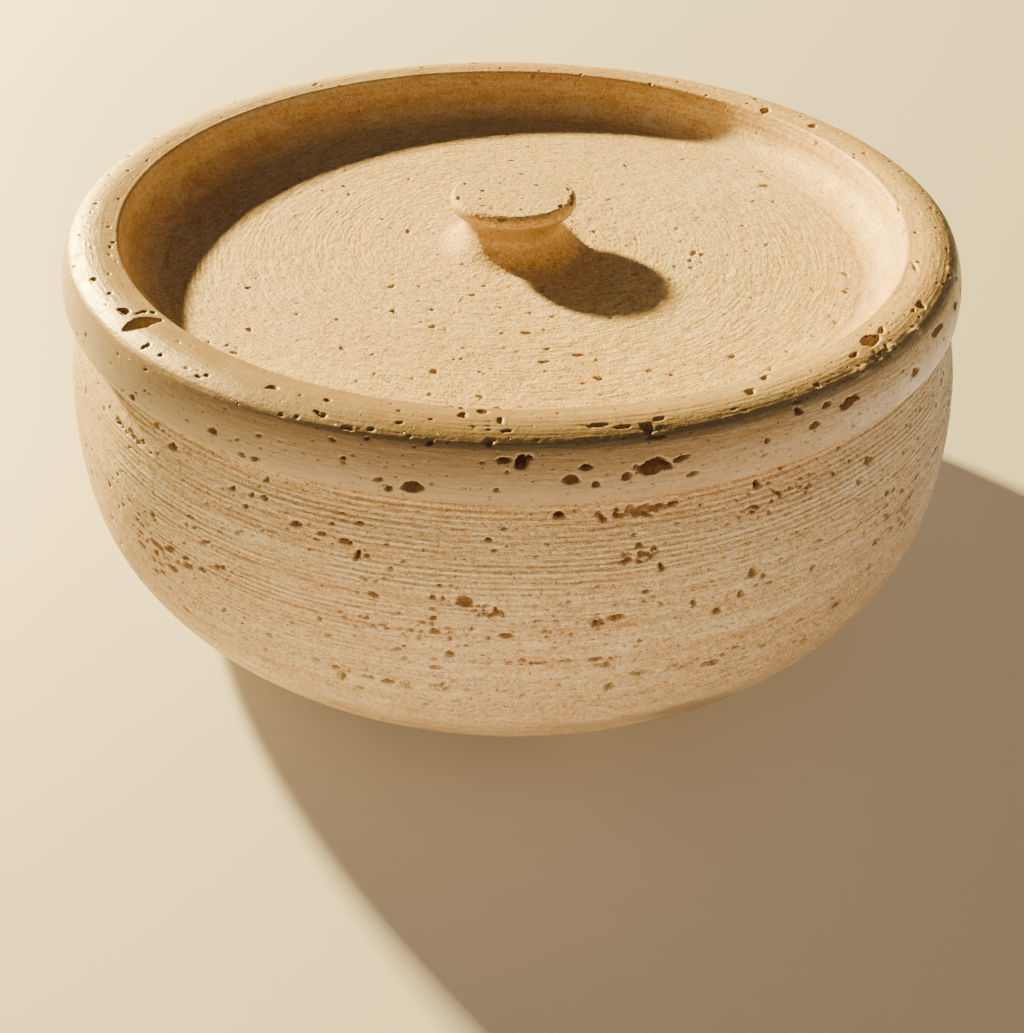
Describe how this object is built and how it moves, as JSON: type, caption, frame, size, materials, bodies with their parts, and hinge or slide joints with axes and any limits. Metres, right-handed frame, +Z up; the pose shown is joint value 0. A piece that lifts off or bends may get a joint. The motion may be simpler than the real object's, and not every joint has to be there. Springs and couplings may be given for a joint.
{
  "type": "go stone bowl",
  "caption": "Squat round stone bowl with a loose lid: thick rounded rim, sunk plate and a central mushroom knob. The lid lifts straight off.",
  "frame": {"origin": "centre of the foot's flat underside, on the surface the bowl stands on", "axes": "+Z up along the turning axis; X and Y are free, because the object is round"},
  "size_m": [0.16, 0.16, 0.0685],
  "materials": {
    "travertine": "honed, with open pores"
  },
  "bodies": {
    "bowl": {"bowl": "travertine"},
    "lid": {"lid": "travertine"}
  },
  "joints": [
    {"name": "lid_lift", "type": "slide", "parent": "bowl", "child": "lid", "axis": [0, 0, 1], "range_m": [0, 0.1]}
  ]
}
